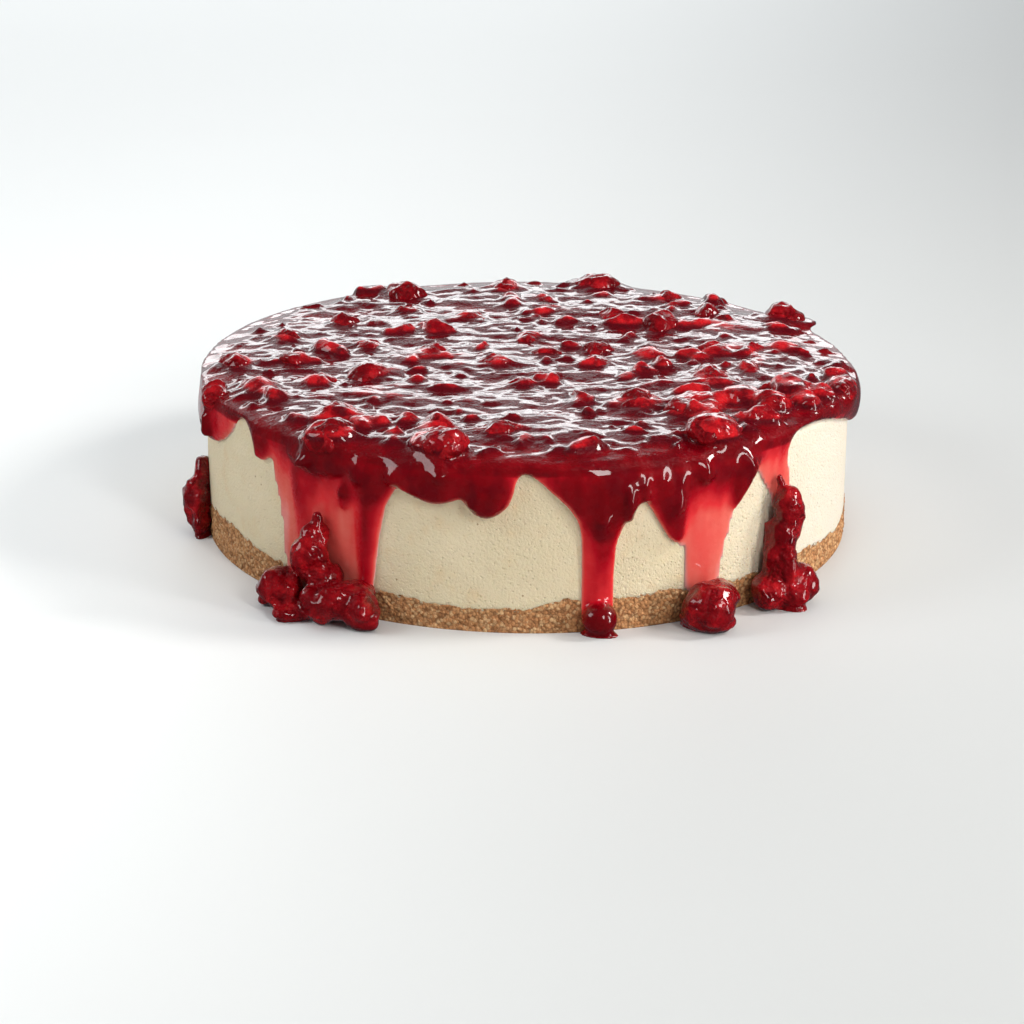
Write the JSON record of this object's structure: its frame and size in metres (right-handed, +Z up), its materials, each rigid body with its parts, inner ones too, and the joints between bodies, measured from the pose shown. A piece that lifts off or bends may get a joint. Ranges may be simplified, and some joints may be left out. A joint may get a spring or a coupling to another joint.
{
  "type": "cheesecake",
  "caption": "Whole round baked cheesecake on a crumb base, topped with cherries in a glossy red glaze that runs down the wall in drips, with cherries at its foot",
  "frame": {"origin": "middle of the flat underside of the crumb base", "axes": "+Z up through the middle of the cake, -Y is the front"},
  "size_m": [0.2418, 0.2399, 0.0697],
  "materials": {
    "crumb": "pressed biscuit crumb, coarse and matt, brown with darker specks",
    "filling": "baked cream cheese, smooth and satin with fine pores, pale cream",
    "glaze": "poured cherry glaze, clear and wet, crimson where thick and pink in a film",
    "cherry": "stoned sour cherries, soft, creased and coated in syrup"
  },
  "bodies": {
    "root": {"crumb_base": "crumb", "cheese_filling": "filling", "cherry_glaze": "glaze", "top_cherry_01": "cherry", "top_cherry_02": "cherry", "top_cherry_03": "cherry", "top_cherry_04": "cherry", "top_cherry_05": "cherry", "top_cherry_06": "cherry", "top_cherry_07": "cherry", "top_cherry_08": "cherry", "top_cherry_09": "cherry", "top_cherry_10": "cherry", "top_cherry_11": "cherry", "top_cherry_12": "cherry", "top_cherry_13": "cherry", "top_cherry_14": "cherry", "top_cherry_15": "cherry", "top_cherry_16": "cherry", "top_cherry_17": "cherry", "top_cherry_18": "cherry", "top_cherry_19": "cherry", "top_cherry_20": "cherry", "top_cherry_21": "cherry", "top_cherry_22": "cherry", "top_cherry_23": "cherry", "top_cherry_24": "cherry", "top_cherry_25": "cherry", "top_cherry_26": "cherry", "top_cherry_27": "cherry", "top_cherry_28": "cherry", "top_cherry_29": "cherry", "top_cherry_30": "cherry", "top_cherry_31": "cherry", "top_cherry_32": "cherry", "top_cherry_33": "cherry", "top_cherry_34": "cherry", "top_cherry_35": "cherry", "top_cherry_36": "cherry", "rim_cherry_01": "cherry", "rim_cherry_02": "cherry", "rim_cherry_03": "cherry", "rim_cherry_04": "cherry", "rim_cherry_05": "cherry", "foot_cherry_01": "cherry", "foot_cherry_02": "cherry", "foot_cherry_03": "cherry", "foot_cherry_04": "cherry", "foot_cherry_05": "cherry", "foot_cherry_06": "cherry", "foot_cherry_07": "cherry", "foot_cherry_08": "cherry", "foot_cherry_09": "cherry", "foot_cherry_10": "cherry"}
  },
  "joints": []
}
